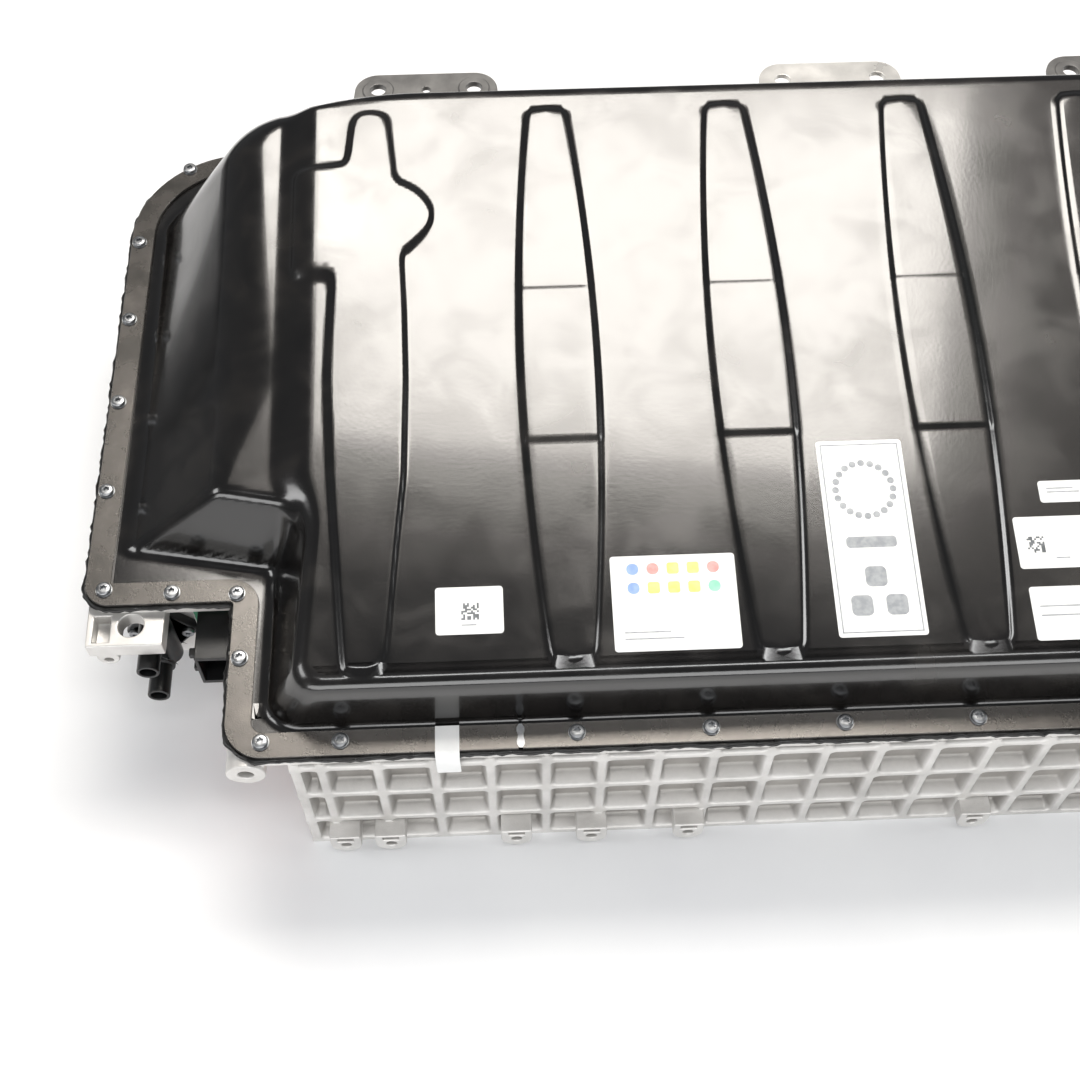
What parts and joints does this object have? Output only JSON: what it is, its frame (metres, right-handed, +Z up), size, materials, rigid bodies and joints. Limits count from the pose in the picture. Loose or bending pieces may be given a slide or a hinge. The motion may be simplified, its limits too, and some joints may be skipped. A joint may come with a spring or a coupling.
{
  "type": "traction battery pack",
  "caption": "Liquid-cooled high-voltage battery pack: ribbed cast tray, pressed steel cover on a screwed rim, rear brackets, and prismatic-cell modules with junction box and controller inside.",
  "frame": {"origin": "middle of the tray's flat underside", "axes": "+X along the pack's length, +Y to the back where the brackets are, +Z up"},
  "size_m": [1.124, 0.748, 0.303],
  "materials": {
    "cast_aluminium": "as-cast, matt",
    "sheet_aluminium": "smooth",
    "black_steel": "glossy black electro-coat",
    "strip_steel": "satin black coat, worn",
    "zinc_steel": "bright zinc plate",
    "dark_plastic": "moulded, fine texture",
    "orange_plastic": "moulded, high-voltage orange",
    "light_plastic": "moulded, natural",
    "seal_rubber": "cured sealant",
    "green_rubber": "silicone seal",
    "copper": "bare copper",
    "brass": "bare brass",
    "cell_film": "blue insulating film over an aluminium can",
    "board_green": "solder-masked circuit board",
    "ceramic": "glazed ceramic",
    "heat_pad": "soft gap filler",
    "paper": "printed film label, blank"
  },
  "bodies": {
    "tray_body": {"tray": "cast_aluminium", "cover_seal": "seal_rubber", "bracket_left": "strip_steel", "bracket_middle": "sheet_aluminium", "bracket_right": "strip_steel", "bracket_bolts": "zinc_steel", "coolant_inlet": "dark_plastic", "coolant_seal": "seal_rubber", "coolant_screws": "zinc_steel", "signal_socket": "dark_plastic", "socket_gasket": "green_rubber", "power_socket": "orange_plastic", "power_contacts": "brass", "socket_screws": "zinc_steel", "vent_body": "dark_plastic", "vent_spring": "zinc_steel", "ground_stud": "zinc_steel", "cooling_plate_lower": "sheet_aluminium", "cooling_plate_upper": "sheet_aluminium", "coolant_pipes": "sheet_aluminium", "heat_pads": "heat_pad", "tier_frame": "sheet_aluminium", "cells_lower": "cell_film", "cells_upper": "cell_film", "cells_front": "cell_film", "end_plates": "cast_aluminium", "side_plates": "sheet_aluminium", "cell_spacers": "light_plastic", "bar_carriers": "light_plastic", "cell_bars": "copper", "cell_boards": "board_green", "module_bolts": "zinc_steel", "module_links": "orange_plastic", "box_base": "dark_plastic", "contactor_cases": "light_plastic", "contactor_coils": "copper", "main_contacts": "brass", "spring_plus": "zinc_steel", "spring_minus": "zinc_steel", "spring_charge": "zinc_steel", "charge_resistor": "ceramic", "main_fuse": "ceramic", "current_sensor": "dark_plastic", "box_bars": "copper", "box_screws": "zinc_steel", "controller_case": "sheet_aluminium", "controller_lid": "dark_plastic", "controller_screws": "zinc_steel"},
    "cover_body": {"cover": "black_steel", "strip_left": "strip_steel", "strip_front": "strip_steel", "strip_right": "strip_steel", "strip_back": "strip_steel", "cover_screws": "zinc_steel", "labels": "paper", "wrap_label": "paper"},
    "vent_body_valve": {"vent_valve": "green_rubber"},
    "plus_bridge": {"bridge_plus": "copper"},
    "minus_bridge": {"bridge_minus": "copper"},
    "charge_bridge": {"bridge_charge": "copper"}
  },
  "joints": [
    {"name": "cover_lift", "type": "slide", "parent": "tray_body", "child": "cover_body", "axis": [0, 0, 1], "range_m": [0, 0.35]},
    {"name": "vent_open", "type": "slide", "parent": "tray_body", "child": "vent_body_valve", "axis": [1, 0, 0], "range_m": [0, 0.003], "stiffness_N_per_m": 400, "springref_m": -0.004, "deforming": ["vent_spring"]},
    {"name": "plus_close", "type": "slide", "parent": "tray_body", "child": "plus_bridge", "axis": [0, 0, 1], "range_m": [0, 0.0025], "stiffness_N_per_m": 1500, "springref_m": -0.003, "deforming": ["spring_plus"]},
    {"name": "minus_close", "type": "slide", "parent": "tray_body", "child": "minus_bridge", "axis": [0, 0, 1], "range_m": [0, 0.0025], "stiffness_N_per_m": 1500, "springref_m": -0.003, "deforming": ["spring_minus"]},
    {"name": "charge_close", "type": "slide", "parent": "tray_body", "child": "charge_bridge", "axis": [0, 0, 1], "range_m": [0, 0.0025], "stiffness_N_per_m": 1200, "springref_m": -0.003, "deforming": ["spring_charge"]}
  ]
}
